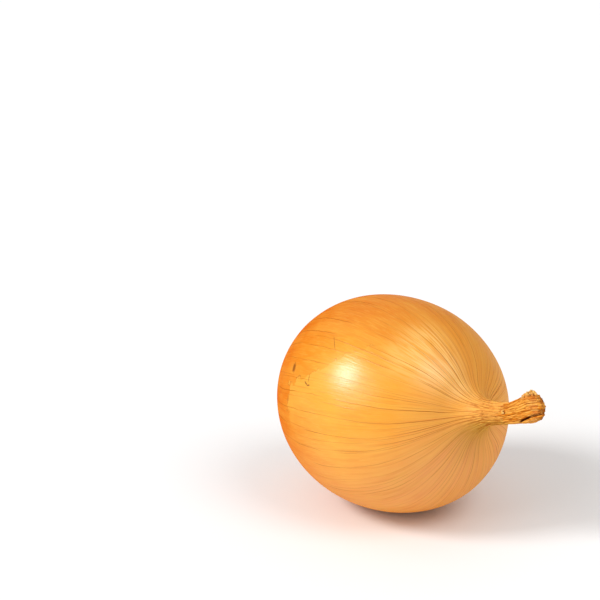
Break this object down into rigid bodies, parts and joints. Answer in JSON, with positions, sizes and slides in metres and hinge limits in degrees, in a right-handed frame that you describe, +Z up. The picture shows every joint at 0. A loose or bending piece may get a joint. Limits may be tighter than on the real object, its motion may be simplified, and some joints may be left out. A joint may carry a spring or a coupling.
{
  "type": "onion",
  "caption": "Whole yellow storage onion with glossy dry skin, a long dried neck that ends in a flat fan, and a root plate with short dried rootlets. It lies on its side.",
  "frame": {"origin": "middle of the small flat that the onion rests on", "axes": "+Z up, +X level towards the neck's end, which points 13.8 degrees above level, -Y towards the side that the picture shows"},
  "size_m": [0.1284, 0.0802, 0.0766],
  "materials": {
    "dry_skin": "glossy dry papery skin, golden orange with thin brown veins"
  },
  "bodies": {
    "root": {"onion": "dry_skin"}
  },
  "joints": []
}
